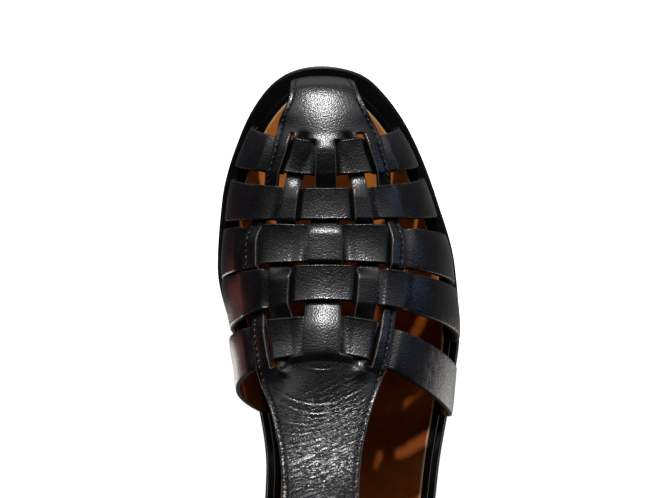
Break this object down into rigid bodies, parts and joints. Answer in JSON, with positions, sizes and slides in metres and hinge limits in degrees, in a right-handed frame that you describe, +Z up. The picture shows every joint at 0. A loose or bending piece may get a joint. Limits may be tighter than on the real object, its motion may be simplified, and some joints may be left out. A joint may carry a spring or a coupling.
{
  "type": "fisherman sandal",
  "caption": "Right fisherman sandal: black leather straps woven through a slit vamp, an instep bar on a buckled ankle strap, a closed heel, tan insole and low layered sole.",
  "frame": {"origin": "on the floor under the middle of the sandal's box", "axes": "+X to the outer (lateral) side of the right foot, +Y to the toe, +Z up"},
  "size_m": [0.0947, 0.26, 0.11],
  "materials": {
    "leather": "fine-grained black leather, satin, with dark stitching and grey cut edges",
    "lining": "smooth tan lining leather, satin",
    "rim": "black wrapped leather edge, satin",
    "sole": "black moulded rubber, semi-matte",
    "buckle": "satin steel"
  },
  "bodies": {
    "root": {"outsole": "sole", "heel": "sole", "midsole": "sole", "footbed": "rim", "insole": "lining", "upper": "leather", "back_quarter": "leather", "buckle_frame": "buckle", "buckle_prong": "buckle", "strap_keeper": "leather"}
  },
  "joints": []
}
